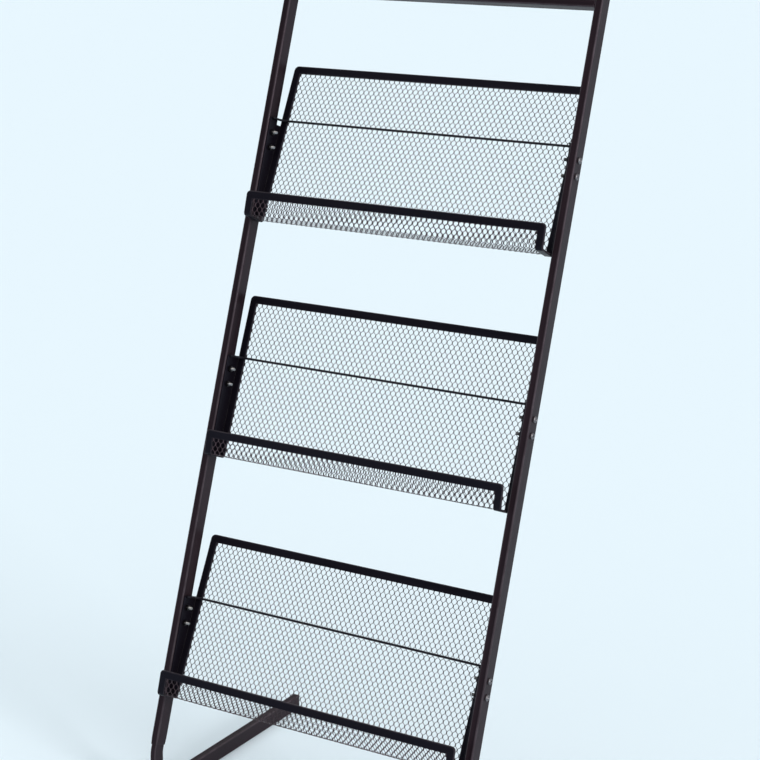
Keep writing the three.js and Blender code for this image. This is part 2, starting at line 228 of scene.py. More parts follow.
def platedSteel(name, look):  # bolts and nuts
    material, board, shader = newFinish(name, {"Metallic": 1.0})
    here = board.node("ShaderNodeTexCoord", None, None, "Object")
    head = board.node("ShaderNodeAttribute", {"attribute_name": "head"}, None, "Fac")
    clouds = board.speckle(here, plating["clouds"], 3.0)
    scratch = board.speckle(here, plating["scratches"], 4.0)
    plain = board.blend(board.span(clouds, 0.3, 0.7, 0.0, 1.0), look["pale"], look["dull"])
    colour = board.blend(head, plain, look["head"])
    rough = board.span(clouds, 0.2, 0.8, *plating["rough"]) + board.span(scratch, 0.3, 0.7, -0.05, 0.07)
    rough = rough + head * 0.08
    bump = board.bump(scratch, *plating["bump"])
    feed(board, shader, {"Base Color": colour, "Roughness": rough, "Normal": bump})
    return material


plasticLook = {
    "plain": (0.030, 0.029, 0.032, 1),
    "scuffed": (0.055, 0.053, 0.057, 1),
    "gloss": 0.4,
    "rough": (0.5, 0.66),
    "grain": 1900.0,
    "scuffs": 150.0,
    "bump": (0.4, 0.00006),
}


def plugPlastic(name, look):
    material, board, shader = newFinish(name, {"Specular IOR Level": look["gloss"]})
    here = board.node("ShaderNodeTexCoord", None, None, "Object")
    grain = board.speckle(here, look["grain"], 2.0)
    scuff = board.speckle(here, look["scuffs"], 4.0)
    colour = board.blend(board.span(scuff, 0.45, 0.75, 0.0, 1.0), look["plain"], look["scuffed"])
    rough = board.span(scuff, 0.3, 0.8, *look["rough"])
    bump = board.bump(grain, *look["bump"])
    feed(board, shader, {"Base Color": colour, "Roughness": rough, "Normal": bump})
    return material


tubeCoat, rimCoat, wireCoat = (powderCoat(name, look) for name, look in coatLooks.items())
strandCoat = meshCoat("strand_coat", strandLook)
zinc, blackNut = (platedSteel(name, look) for name, look in platingLooks.items())
plastic = plugPlastic("plug_plastic", plasticLook)
print("finishes made")


# Everything below is drawn in millimetres in the rack's own axes, and goes to metres when it is placed
rack = {
    "lean": math.radians(19.3),
    "spacing": 440.0,
    "footFront": 6.0,
    "footRear": 351.0,
    "gap": 0.3,  # between pieces that touch
}
sides = {"left": -1, "right": 1}
drawnBack = rack["footFront"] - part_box("left_foot_front_plug")[0].y / mm
floorFrame = Matrix.Translation((0, -drawnBack, 0))
leanFrame = floorFrame @ Matrix.Rotation(-rack["lean"], 4, "X")


def inPlace(points, matrix):  # where the points stand, in metres
    turned = np.asarray(points, float) @ np.array(matrix.to_3x3()).T + np.array(matrix.translation)
    return turned * mm


def addValues(mesh, name, values):  # a number or a vector for each point
    values = np.asarray(values, np.float32)
    kind, key = ("FLOAT", "value") if values.ndim == 1 else ("FLOAT_VECTOR", "vector")
    mesh.attributes.new(name, kind, "POINT").data.foreach_set(key, values.ravel())


def seatMesh(name, mesh, nodes, sharp):  # edges that turn by more than sharp stay sharp
    mesh.shade_smooth()
    mesh.set_sharp_from_angle(angle=math.radians(sharp))
    piece = bpy.data.objects.new(name, mesh)
    scene.collection.objects.link(piece)
    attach(piece, "root")
    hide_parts(*nodes)


def placePiece(name, points, faces, matrix, finish, nodes, sharp, edge=None, grain=None):
    mesh = bpy.data.meshes.new(name)
    mesh.from_pydata(inPlace(points, matrix).tolist(), [], faces)
    mesh.materials.append(finish)
    if edge is not None:
        addValues(mesh, "edge", edge)
    if grain is not None:
        addValues(mesh, "grain", np.pad(np.asarray(grain) * mm, ((0, 0), (0, 1))))
    mesh.validate()
    seatMesh(name, mesh, nodes, sharp)


def ringFaces(ringCount, pointCount, closed):  # quads between rings that follow each other
    faces = []
    for ring in range(ringCount if closed else ringCount - 1):
        here, there = ring * pointCount, (ring + 1) % ringCount * pointCount
        for k in range(pointCount):
            n = (k + 1) % pointCount
            faces.append((here + k, here + n, there + n, there + k))
    if not closed:
        faces.append(tuple(range(pointCount))[::-1])
        faces.append(tuple(range((ringCount - 1) * pointCount, ringCount * pointCount)))
    return faces


rounding = {"steps": 5, "support": 0.5, "least": 0.15}  # how a section's corners are drawn


def roundSection(width, depth, radius, inset=0.0):
    # a rectangle with round corners, how much each point belongs to an edge, and how far round it lies
    x, y, r = width / 2 - inset, depth / 2 - inset, max(radius - inset, rounding["least"])
    points, edge = [], []
    for k, (sx, sy) in enumerate(((1, -1), (1, 1), (-1, 1), (-1, -1))):
        centre = np.array([sx * (x - r), sy * (y - r)])
        turns = [quarter * (k - 1 + s / rounding["steps"]) for s in range(rounding["steps"] + 1)]
        arc = [centre + r * np.array([math.cos(a), math.sin(a)]) for a in turns]
        first, last = (np.array([-math.sin(a), math.cos(a)]) for a in (turns[0], turns[-1]))
        points += [arc[0] - first * rounding["support"], *arc, arc[-1] + last * rounding["support"]]
        edge += [0.0] + [1.0] * len(arc) + [0.0]
    points, edge = np.roll(np.array(points), -1, axis=0), np.roll(np.array(edge), -1)
    around = np.concatenate([[0], np.cumsum(np.linalg.norm(np.diff(points, axis=0), axis=1))])
    return points, edge, around


def stackSections(levels):  # levels: section, height
    points, edge, grain = [], [], []
    for (section, flags, around), height in levels:
        points += [(p[0], p[1], height) for p in section]
        edge += list(flags)
        grain += [(a, height) for a in around]
    return points, edge, grain


tube = {
    "width": 10.0,
    "depth": 20.0,
    "wall": 1.0,
    "corner": 1.5,
    "bore": 0.5,  # the corners inside
    "burr": 0.25,
    "mouth": [(0.0, 0.85), (0.3, 0.68), (1.2, 0.56), (4.0, 0.34), (8.0, 0.1), (12.0, 0.0)],  # up, in
    "markShift": (7.3, 411.0),  # no two tubes marked alike
    "sharp": 32.0,
}
upright = {"start": 80.0, "end": 1100.0}
rail = {"start": 1057.0, "marks": 5.0}
footMarks = {"left": 1.6, "right": 2.4}
plug = {"cap": 2.0, "crown": 0.9, "rim": 0.2, "side": 0.15, "flat": 0.6, "steps": 5, "sharp": 40.0}
tubeSize = (tube["width"], tube["depth"], tube["corner"])
halfDepth = tube["depth"] / 2


def makeTube(name, length, matrix, marks, nodes, swaged=False):
    burr, wall = tube["burr"], tube["wall"]
    outer, eased = roundSection(*tubeSize), roundSection(*tubeSize, burr)
    bore = roundSection(tube["width"] - 2 * wall, tube["depth"] - 2 * wall, tube["bore"])
    if swaged:  # the lower mouth is drawn in over the bar that stands in it
        levels = [(roundSection(*tubeSize, inset), height) for height, inset in tube["mouth"]]
    else:
        levels = [(eased, 0.0), (outer, burr), (outer, burr * 4)]
    levels += [(outer, length / 2), (outer, length - burr * 4), (outer, length - burr), (eased, length)]
    levels += [(bore, length), (bore, 0.0)]
    points, edge, grain = stackSections(levels)
    grain = np.array(grain) + np.array(tube["markShift"]) * marks
    faces = ringFaces(len(levels), len(outer[0]), True)
    placePiece(name, points, faces, matrix, tubeCoat, nodes, tube["sharp"], edge, grain)


def makePlug(name, matrix, nodes):
    lower, crown, rim = rack["gap"], plug["crown"], plug["rim"]
    top, whole = lower + plug["cap"], roundSection(*tubeSize)
    levels = [(roundSection(*tubeSize, rim), lower), (whole, lower + rim)]
    levels.append((whole, top - crown - plug["side"]))
    for k in range(plug["steps"] + 1):  # the cap's rounded shoulder
        turn = quarter * k / plug["steps"]
        inset, drop = crown * (1 - math.cos(turn)), crown * (1 - math.sin(turn))
        levels.append((roundSection(*tubeSize, inset), top - drop))
    levels.append((roundSection(*tubeSize, crown + plug["flat"]), top))
    points, faces = stackSections(levels)[0], ringFaces(len(levels), len(whole[0]), False)
    placePiece(name, points, faces, matrix, plastic, nodes, plug["sharp"])


uprightLength = upright["end"] - upright["start"]
barStart = rack["footFront"] + plug["cap"] + rack["gap"]
barEnd = rack["footRear"] - plug["cap"] - rack["gap"]
towardsFront = Matrix.Rotation(quarter, 4, "X")
for side, sign in sides.items():
    x = sign * rack["spacing"] / 2
    stand = leanFrame @ Matrix.Translation((x, halfDepth, upright["start"]))
    makeTube(side + "_upright_tube", uprightLength, stand, sign, [side + "_upright"], True)
    top = leanFrame @ Matrix.Translation((x, halfDepth, upright["end"]))
    makePlug(side + "_upright_cap", top, [side + "_upright_plug"])
    front = floorFrame @ Matrix.Translation((x, barStart, halfDepth))
    rear = floorFrame @ Matrix.Translation((x, barEnd, halfDepth))
    lie, marks = rear @ towardsFront, footMarks[side]
    makeTube(side + "_foot_tube", barEnd - barStart, lie, marks, [side + "_foot_bar"])
    makePlug(side + "_foot_front_cap", front @ towardsFront, [side + "_foot_front_plug"])
    makePlug(side + "_foot_rear_cap", rear @ towardsFront.inverted(), [side + "_foot_rear_plug"])

innerHalf = (rack["spacing"] - tube["width"]) / 2 - rack["gap"]  # to what lies against an upright
railEnd = Matrix.Translation((-innerHalf, halfDepth, rail["start"] + tube["width"] / 2))
railFrame = leanFrame @ railEnd @ Matrix.Rotation(quarter, 4, "Y")
makeTube("top_rail_tube", 2 * innerHalf, railFrame, rail["marks"], ["top_rail"])
print("tubes and caps made")


insert = {"bend": 40.0, "reach": 60.0, "lead": 3.0, "corner": 1.0, "steps": 10, "sharp": 32.0}


def makeInsert(side, sign):  # stands on the foot, turns into the lean and goes up the bore
    lean, bend = rack["lean"], insert["bend"]
    slack = 2 * (tube["wall"] + rack["gap"])
    section, flags, around = roundSection(tube["width"] - slack, tube["depth"] - slack, insert["corner"])
    along = np.array([math.sin(lean), math.cos(lean)])
    back = np.array([math.cos(lean), -math.sin(lean)])
    centre = along * (upright["start"] - insert["lead"]) + back * (halfDepth + bend)
    stops = [(np.array([centre[0] - bend, tube["depth"] + rack["gap"]]), 0.0)]
    for k in range(insert["steps"] + 1):
        turn = lean * k / insert["steps"]
        stops.append((centre + bend * np.array([-math.cos(turn), math.sin(turn)]), turn))
    stops.append((along * (upright["start"] + insert["reach"]) + back * halfDepth, lean))
    points, edge, grain, travelled = [], [], [], 0.0
    for k, (spot, turn) in enumerate(stops):
        travelled += float(np.linalg.norm(spot - stops[k - 1][0])) if k else 0.0
        for (wide, deep), a in zip(section, around):
            points.append((wide, spot[0] + deep * math.cos(turn), spot[1] - deep * math.sin(turn)))
            grain.append((a, travelled))
        edge += list(flags)
    matrix = floorFrame @ Matrix.Translation((sign * rack["spacing"] / 2, 0, 0))
    title, nodes = side + "_foot_neck", [side + "_foot_insert"]
    faces = ringFaces(len(stops), len(section), False)
    placePiece(title, points, faces, matrix, tubeCoat, nodes, insert["sharp"], edge, grain)


for side, sign in sides.items():
    makeInsert(side, sign)
print("foot necks made")


tray = {
    "lowestBolt": 257.0,
    "pitch": 309.0,
    "depth": 23.5,  # the panel behind the uprights' front
    "above": 94.0,
    "below": 119.0,
    "pocket": 27.0,
    "lip": 32.0,
    "flare": math.radians(10.0),
    "rim": 10.0,
    "thickness": 3.0,
    "foldInside": 2.0,
    "corner": 6.0,
    "lipCorner": 5.0,
    "tab": 1.5,
}
hang = {  # each tray's tilt behind the uprights, its height over the upper bolts and its wire's
    "lower": {"tilt": math.radians(7.8), "lift": 3.2, "wire": 13.5},
    "middle": {"tilt": math.radians(3.3), "lift": 4.8, "wire": 16.5},
    "upper": {"tilt": math.radians(7.2), "lift": 0.5, "wire": 18.5},
}
tabInner = innerHalf - tray["tab"]
trayHalf = tabInner - rack["gap"]
sheetMiddle = tray["thickness"] / 2
foldOuter = tray["thickness"] + tray["foldInside"]
foldMiddle = foldOuter - sheetMiddle
foldReach = foldOuter * (1 - math.sin(tray["flare"])) / math.cos(tray["flare"])
floorFront = -tray["pocket"] - tray["thickness"]
rearFold = np.array([tray["thickness"] - foldOuter, foldOuter - tray["below"]])
frontFold = np.array([floorFront + foldReach, foldOuter - tray["below"]])
lipTurn = quarter - tray["flare"]
runs = np.cumsum([  # lengths along the flat blank, from the panel's top
    tray["above"] + tray["below"] - foldOuter,
    foldMiddle * quarter,
    rearFold[0] - frontFold[0],
    foldMiddle * lipTurn,
    tray["lip"] - foldReach,
])
blankLength = float(runs[-1])
trayLevels, seats = {}, {}
for k, (name, fit) in enumerate(hang.items()):
    trayLevels[name] = leanFrame @ Matrix.Translation((0, 0, tray["lowestBolt"] + k * tray["pitch"]))
    tilted = Matrix.Translation((0, tray["depth"], fit["lift"])) @ Matrix.Rotation(-fit["tilt"], 4, "X")
    seats[name] = trayLevels[name] @ tilted


def foldBlank(flat):  # u, distance down the blank and height off its middle, to the folded tray
    u, down, off = np.asarray(flat, float).T
    out = np.stack([u, sheetMiddle - off, tray["above"] - down], 1)
    radius = foldMiddle - off
    turn = np.clip((down - runs[0]) / foldMiddle, 0, quarter)
    rear = np.stack([u, rearFold[0] + radius * np.cos(turn), rearFold[1] - radius * np.sin(turn)], 1)
    out = np.where((down > runs[0])[:, None], rear, out)
    floor = np.stack([u, rearFold[0] - (down - runs[1]), rearFold[1] - radius], 1)
    out = np.where((down > runs[1])[:, None], floor, out)
    turn = np.clip((down - runs[2]) / foldMiddle, 0, lipTurn)
    front = np.stack([u, frontFold[0] - radius * np.sin(turn), frontFold[1] - radius * np.cos(turn)], 1)
    out = np.where((down > runs[2])[:, None], front, out)
    up, inward = foldReach + down - runs[3], sheetMiddle + off
    slope, rise = math.sin(tray["flare"]), math.cos(tray["flare"])
    depth, height = floorFront - up * slope + inward * rise, up * rise + inward * slope - tray["below"]
    return np.where((down > runs[3])[:, None], np.stack([u, depth, height], 1), out)


def looseObject(name, points, faces):  # a shape for a tree or a cut
    mesh = bpy.data.meshes.new(name)
    mesh.from_pydata((np.array(points) * mm).tolist(), [], faces)
    made = bpy.data.objects.new(name, mesh)
    scene.collection.objects.link(made)
    return made


def runTree(tree, name, mesh, inputs):  # a tree's result as a plain mesh
    carrier = bpy.data.objects.new(name, mesh)
    scene.collection.objects.link(carrier)
    modifier = carrier.modifiers.new("build", "NODES")
    modifier.node_group = tree
    for item in tree.interface.items_tree:
        if item.item_type == "SOCKET" and item.in_out == "INPUT" and item.name in inputs:
            modifier[item.identifier] = inputs[item.name]
    bpy.context.view_layer.update()
    graph = bpy.context.evaluated_depsgraph_get()
    result = bpy.data.meshes.new_from_object(carrier.evaluated_get(graph))
    bpy.data.objects.remove(carrier)
    return result


def newTree(name, inputs):
    tree = bpy.data.node_groups.new(name, "GeometryNodeTree")
    for label, kind in inputs.items():
        tree.interface.new_socket(name=label, in_out="INPUT", socket_type="NodeSocket" + kind)
    tree.interface.new_socket(name="Result", in_out="OUTPUT", socket_type="NodeSocketGeometry")
    board = Board(tree)
    source = board.node("NodeGroupInput").socket.node
    given = {label: Field(board, source.outputs[label]) for label in inputs}
    return tree, board, given


def finishTree(board, shape, material):
    real = board.node("GeometryNodeRealizeInstances", None, {"Geometry": shape})
    dressed = board.node("GeometryNodeSetMaterial", None, {"Geometry": real, "Material": material})
    board.node("NodeGroupOutput", None, {"Result": dressed})


def givenShape(board, shape):  # an object handed to a tree
    return board.node("GeometryNodeObjectInfo", None, {"Object": shape, "As Instance": True}, "Geometry")


sheet = {
    "columnStep": 3.73,  # half a diamond across
    "rowStep": 5.6,  # half a diamond up
    "columns": 111,
    "rows": 47,
    "strand": 0.58,
    "thickness": 0.36,
    "bond": 1.25,  # how far each knot is drawn out, and half its width
    "knotHalf": 0.72,
    "wave": 0.15,
    "weld": 0.03,  # points this near become one
    "sharp": 25.0,
}


def strandKnot():  # one knot of the sheet with the four half strands that leave it
    across, up, bond = sheet["columnStep"] / 2, sheet["rowStep"] / 2, sheet["bond"]
    run = np.array([across, up - bond])
    run /= np.linalg.norm(run)
    normal = np.array([-run[1], run[0]]) * sheet["strand"] / 2
    inner, outer = np.array([across, up]) + normal, np.array([across, up]) - normal
    crotchTop = np.array([0.0, bond + normal[1] - normal[0] * run[1] / run[0]])
    widest = sheet["knotHalf"]
    crotchSide = np.array([widest, bond - normal[1] + (widest + normal[0]) * run[1] / run[0]])
    corner, outline = [crotchSide, outer, inner, crotchTop], []
    for flip in ((1, 1), (-1, 1), (-1, -1), (1, -1)):
        part = [p * np.array(flip) for p in corner]
        outline += part if flip[0] * flip[1] > 0 else part[::-1]
    keep = [0, 1, 2, 3, 5, 6, 7, 8, 9, 10, 11, 13, 14, 15]  # top and bottom crotches are shared
    outline = [outline[k] for k in keep]
    count, half = len(outline), sheet["thickness"] / 2
    points = [(p[0], p[1], half) for p in outline] + [(p[0], p[1], -half) for p in outline]
    front = [(0, 1, 2, 3), (3, 4, 5, 6), (7, 8, 9, 10), (10, 11, 12, 13), (0, 3, 6, 7, 10, 13)]
    faces = front + [tuple(k + count for k in face[::-1]) for face in front]
    openEnds = {1, 4, 8, 11}  # the cut across a half strand, joined to its neighbour
    for k in range(count):
        if k not in openEnds:
            n = (k + 1) % count
            faces.append((k, k + count, n + count, n))
    return looseObject("strand_knot", points, faces)


def diamondTree():
    tree, board, given = newTree("diamond_sheet", {
        "Column step": "Float", "Row step": "Float", "Columns": "Int", "Rows": "Int",
        "Wave": "Float", "Weld": "Float", "Knot": "Object", "Coat": "Material",
    })
    columns, rows = given["Columns"], given["Rows"]
    size = {"Size X": (columns - 1.0) * given["Column step"], "Size Y": (rows - 1.0) * given["Row step"]}
    grid = board.node("GeometryNodeMeshGrid", None, {**size, "Vertices X": columns, "Vertices Y": rows})
    spot = board.node("GeometryNodeInputPosition")
    split = board.node("ShaderNodeSeparateXYZ", None, {"Vector": spot})
    spotY = Field(board, split.socket.node.outputs["Y"])
    cell = board.nearest(split / given["Column step"]) + board.nearest(spotY / given["Row step"])
    odd = board.node("ShaderNodeMath", {"operation": "FLOORED_MODULO"}, {0: cell, 1: 2.0})
    dropped = {"Geometry": grid, "Selection": odd}
    staggered = board.node("GeometryNodeDeleteGeometry", {"domain": "POINT"}, dropped)
    laid = {"Points": staggered, "Instance": givenShape(board, given["Knot"])}
    knots = board.node("GeometryNodeInstanceOnPoints", None, laid)
    real = board.node("GeometryNodeRealizeInstances", None, {"Geometry": knots})
    whole = board.node("GeometryNodeMergeByDistance", None, {"Geometry": real, "Distance": given["Weld"]})
    cycle = split / given["Column step"] * (2 * math.pi)
    wave = board.node("ShaderNodeMath", {"operation": "SINE"}, {0: cycle}) * given["Wave"]
    lift = board.node("ShaderNodeCombineXYZ", None, {"Z": wave})
    raised = board.node("GeometryNodeSetPosition", None, {"Geometry": whole, "Offset": lift})
    finishTree(board, raised, given["Coat"])
    return tree


knot = strandKnot()
flatSheet = runTree(diamondTree(), "diamond_blank", bpy.data.meshes.new("blank"), {
    "Column step": sheet["columnStep"] * mm, "Row step": sheet["rowStep"] * mm,
    "Columns": sheet["columns"], "Rows": sheet["rows"], "Wave": sheet["wave"] * mm,
    "Weld": sheet["weld"] * mm, "Knot": knot, "Coat": strandCoat,
})
bpy.data.objects.remove(knot)
strands = bmesh.new()
strands.from_mesh(flatSheet)
cutEnds = [e for e in strands.edges if e.is_boundary]  # of the sheet's outermost strands
bmesh.ops.holes_fill(strands, edges=cutEnds, sides=4)
strands.to_mesh(flatSheet)
strands.free()
flat = np.zeros(len(flatSheet.vertices) * 3, np.float32)
flatSheet.vertices.foreach_get("co", flat)
flat = flat.reshape(-1, 3) * 1000.0
folded = foldBlank(np.stack([flat[:, 0], blankLength / 2 - flat[:, 1], flat[:, 2]], 1))
for name, matrix in seats.items():
    mesh = flatSheet.copy()
    mesh.name = name + "_tray_sheet"
    mesh.vertices.foreach_set("co", inPlace(folded, matrix).astype(np.float32).ravel())
    mesh.update()
    nodes = [name + wall for wall in ("_back_mesh", "_floor_mesh", "_lip_mesh")]
    seatMesh(name + "_tray_sheet", mesh, nodes, sheet["sharp"])
print("diamond sheets folded,", len(flatSheet.polygons), "faces each")


channel = {
    "roll": 1.1,  # the outer edge's radius
    "leaf": 1.5,  # from the sheet's middle to a leaf's outside
    "support": 0.5,
    "flatEnd": 0.8,  # where a leaf's flat ends before its inner edge
    "ease": 0.25,
    "mouth": 0.38,  # half the groove for the sheet, how much it opens and how deep it is
    "flare": 0.1,
    "throat": 7.3,
    "rollSteps": 4,
    "foldSteps": 8,
    "cornerSteps": 6,
    "mitre": 0.22,  # depth of the line across a corner, half its width in turns and its cut into the web
    "mitreHalf": 0.03,
    "mitreCut": 0.02,
    # the mitre line takes the lighter edge colour at this share: a painted highlight along the seam
    "mitreSheen": 0.5,
    "least": 0.05,
    "underShift": 15,  # the lower leaf has marks of its own
    "sharp": 32.0,
}


def channelSection():  # distance in from the outer edge, height off the sheet, edge share, mitre share
    roll, leaf, ease, mouth = (channel[key] for key in ("roll", "leaf", "ease", "mouth"))
    rim, rows = tray["rim"], []
    for k in range(channel["rollSteps"], -1, -1):  # from the web round to the leaf
        turn = quarter * k / channel["rollSteps"]
        rows.append((roll * (1 - math.sin(turn)), leaf - roll * (1 - math.cos(turn)), 1.0, 1.0))
    rows += [
        (roll + channel["support"], leaf, 0.0, 1.0),
        (rim - channel["flatEnd"], leaf, 0.0, 1.0),
        (rim - ease, leaf, 0.7, 1.0),
        (rim, leaf - ease, 1.0, 1.0),
        (rim, mouth + channel["flare"], 0.4, 0.0),  # the groove stays open for the sheet
        (rim - channel["throat"], mouth, 0.0, 0.0),
    ]
    return rows + [(d, -w, e, m) for d, w, e, m in rows[::-1]]


def rimStops():  # outer and inner points round the flat blank, and how open the mitre is there
    rim, steps, middle = tray["rim"], channel["foldSteps"], 0.5
    turns = {k / channel["cornerSteps"] for k in range(channel["cornerSteps"] + 1)}
    turns = sorted(turns | {middle - channel["mitreHalf"], middle, middle + channel["mitreHalf"]})
    foldRows = [a + (b - a) * k / steps for a, b in (runs[:2], runs[2:4]) for k in range(steps + 1)]

    def corner(radius, end, inward):  # from the blank's end round to its side
        inner, stops = (trayHalf - rim, end + inward * rim), []
        for t in turns:
            across, back = radius * math.sin(quarter * t), inward * radius * math.cos(quarter * t)
            outer = (trayHalf - radius + across, end + inward * radius - back)
            stops.append((outer, inner, float(t == middle)))
        return stops

    down = [((trayHalf, y), (trayHalf - rim, y), 0.0) for y in foldRows]
    right = corner(tray["corner"], 0.0, 1) + down + corner(tray["lipCorner"], blankLength, -1)[::-1]
    left = [((-o[0], o[1]), (-i[0], i[1]), m) for o, i, m in right[::-1]]
    return right + left


def makeRim(name, matrix):
    section, stops = channelSection(), rimStops()
    points, edge, grain, travelled = [], [], [], 0.0
    for k, (outer, inner, mitre) in enumerate(stops):
        outer, inner = np.array(outer), np.array(inner)
        travelled += float(np.linalg.norm(outer - stops[k - 1][0])) if k else 0.0
        for d, w, e, m in section:
            cut = channel["mitreCut"] * mitre if d < channel["roll"] else 0
            spot = outer + (inner - outer) * (d / tray["rim"] + cut)
            off = max(abs(w) - channel["mitre"] * mitre * m, channel["least"])
            points.append((spot[0], spot[1], math.copysign(off, w)))
            # the mitre line gets a painted highlight through the edge share
            edge.append(max(e, channel["mitreSheen"] * mitre))
            grain.append((d + (channel["underShift"] if w < 0 else 0), travelled))
    faces = [face[::-1] for face in ringFaces(len(stops), len(section), True)]
    title, nodes, points = name + "_tray_rim", [name + "_rim"], foldBlank(points)
    placePiece(title, points, faces, matrix, rimCoat, nodes, channel["sharp"], edge, grain)


for name, matrix in seats.items():
    makeRim(name, matrix)
print("rims made")


wire = {
    "diameter": 3.0,
    "bend": 9.0,
    "setback": 5.0,
    "tip": 0.5,  # its ends are drawn in over this length, to this share
    "tipShare": 0.72,
    "steps": 12,
    "sidesRound": 12,
    "sharp": 50.0,
}


def makeWire(name, level, fit):
    radius, gap, bend, start = wire["diameter"] / 2, rack["gap"], wire["bend"], wire["setback"]
    slope = math.tan(fit["tilt"])
    run = tray["depth"] + (fit["wire"] - fit["lift"]) * slope - (radius + gap) / math.cos(fit["tilt"])
    arm = tabInner - gap - radius
    path = [(-arm, start), (-arm, start + wire["tip"])]
    for sign, first in ((-1, math.pi), (1, quarter)):
        for k in range(wire["steps"] + 1):
            turn = first - quarter * k / wire["steps"]
            path.append((sign * (arm - bend) + bend * math.cos(turn), run - bend + bend * math.sin(turn)))
    path += [(arm, start + wire["tip"]), (arm, start)]
    path, last, points = np.array(path), len(path) - 1, []
    for k, spot in enumerate(path):
        ahead = path[min(k + 1, last)] - path[max(k - 1, 0)]
        ahead /= np.linalg.norm(ahead)
        size = radius * (wire["tipShare"] if k in (0, last) else 1.0)
        for s in range(wire["sidesRound"]):
            turn = 2 * math.pi * s / wire["sidesRound"]
            wide, up = size * math.cos(turn), size * math.sin(turn)
            points.append((spot[0] - ahead[1] * wide, spot[1] + ahead[0] * wide, fit["wire"] + up))
    faces, nodes = ringFaces(len(path), wire["sidesRound"], False), [name + "_wire"]
    placePiece(name + "_tray_wire", points, faces, level, wireCoat, nodes, wire["sharp"])


plate = {
    "overWire": 1.5,
    "below": 112.0,
    "setback": 2.0,
    "shoulder": 11.2,  # where it stands lower behind the upright, over the tray's own seat
    "step": 18.0,
    "corner": 4.0,
    "smallCorner": 0.8,
    "bevel": 0.3,
    "steps": 6,
    "sharp": 30.0,
}


def plateOutline(fit):
    def rear(height):
        behind = tray["depth"] + tray["thickness"] / math.cos(fit["tilt"])
        return behind + (height - fit["lift"]) * math.tan(fit["tilt"])

    front, step, low = plate["setback"], plate["step"], -plate["below"]
    top, shoulder = fit["wire"] + plate["overWire"], fit["lift"] + plate["shoulder"]
    large, small = plate["corner"], plate["smallCorner"]
    spots = [(rear(low), low), (rear(shoulder), shoulder), (step, shoulder)]
    spots = np.array(spots + [(step, top), (front, top), (front, low)])
    points = []
    for k, (spot, size) in enumerate(zip(spots, (small, small, small, small, large, large))):
        before, after = spots[k - 1] - spot, spots[(k + 1) % len(spots)] - spot
        start = spot + before * (size / np.linalg.norm(before))
        end = spot + after * (size / np.linalg.norm(after))
        for share in np.linspace(0.0, 1.0, plate["steps"] + 1):
            points.append(start * (1 - share) ** 2 + spot * (2 * share * (1 - share)) + end * share ** 2)
    return np.array(points)


def insetOutline(points, amount):
    before, after = points - np.roll(points, 1, 0), np.roll(points, -1, 0) - points
    left = [np.stack([-v[:, 1], v[:, 0]], 1) / np.linalg.norm(v, axis=1)[:, None] for v in (before, after)]
    normal = left[0] + left[1]
    return points + normal * (amount * 2 / (normal ** 2).sum(1))[:, None]


def makePlate(name, side, sign, level, fit):
    outline, thick, bevel = plateOutline(fit), tray["tab"], plate["bevel"]
    small, points = insetOutline(outline, bevel), []
    rings = ((small, 0.0), (outline, bevel), (outline, thick - bevel), (small, thick))
    for ring, x in rings:
        points += [(x, p[0], p[1]) for p in ring]
    faces = ringFaces(len(rings), len(outline), False)
    matrix = level @ Matrix.Translation((tabInner if sign > 0 else -innerHalf, 0, 0))
    title, nodes = f"{name}_{side}_plate", [f"{name}_{side}_tab"]
    placePiece(title, points, faces, matrix, rimCoat, nodes, plate["sharp"])


for name, fit in hang.items():
    makeWire(name, trayLevels[name], fit)
    for side, sign in sides.items():
        makePlate(name, side, sign, trayLevels[name], fit)
print("wires and side plates made")


bolt = {
    "spacing": 19.5,
    "shank": 2.0,  # radius, as for the head
    "tip": 4.4,  # past the nut
    "end": [(1.6, 0.0), (0.45, 0.0), (0.1, 0.4)],  # in from the shank, up from its end
    "threads": 6,
    "threadStart": 0.6,
    "threadStep": 0.7,
    "threadDeep": 0.28,
    "threadEnd": 5.2,
    "head": 4.0,
    "height": 2.4,
    "brim": 0.12,
    "domeStart": 0.5,
    "domeSweep": 0.9,
    "domeFull": 0.8,
    "domeSteps": 6,
    "slot": 4.4,
    "slotHalf": 0.55,
    "slotDeep": 1.5,
    "slotClear": 0.5,
    "slotTaper": [(0.35, 0.75), (1.15, 1.1)],  # length and width at the bottom, and above the head
    "headUnder": 0.05,  # the head's own tone starts this far under its seat
    "around": 28,
    "seed": 4,
    "sharp": 30.0,
}
nut = {
    "across": 7.0,
    "height": 3.2,
    "bore": 2.03,
    "boreWider": 0.4,
    "boreEase": 0.35,
    "boreClear": 0.1,
    "chamfer": 0.45,
    "chamferShare": 0.97,
    "spare": 0.05,
    "hair": 0.01,
    "around": 28,
    "barrelAround": 48,
    "seed": 9,
    "sharp": 30.0,
}
headSeat, nutSeat = (rack["spacing"] + tube["width"]) / 2 + rack["gap"], tabInner - rack["gap"]


def solidObject(name, points, faces):  # all its faces turned outwards
    made = looseObject(name, points, faces)
    shape = bmesh.new()
    shape.from_mesh(made.data)
    bmesh.ops.recalc_face_normals(shape, faces=shape.faces)
    shape.to_mesh(made.data)
    shape.free()
    return made


def lathe(name, profile, around):
    turns = [2 * math.pi * k / around for k in range(around)]
    points = [(r * math.cos(a), r * math.sin(a), z) for r, z in profile for a in turns]
    return solidObject(name, points, ringFaces(len(profile), around, False))


def carve(target, tool, operation):
    change = target.modifiers.new("carve", "BOOLEAN")
    change.operation, change.solver, change.object = operation, "EXACT", tool
    bpy.context.view_layer.update()
    graph = bpy.context.evaluated_depsgraph_get()
    mesh = bpy.data.meshes.new_from_object(target.evaluated_get(graph))
    target.modifiers.clear()
    target.data = mesh
    bpy.data.objects.remove(tool)


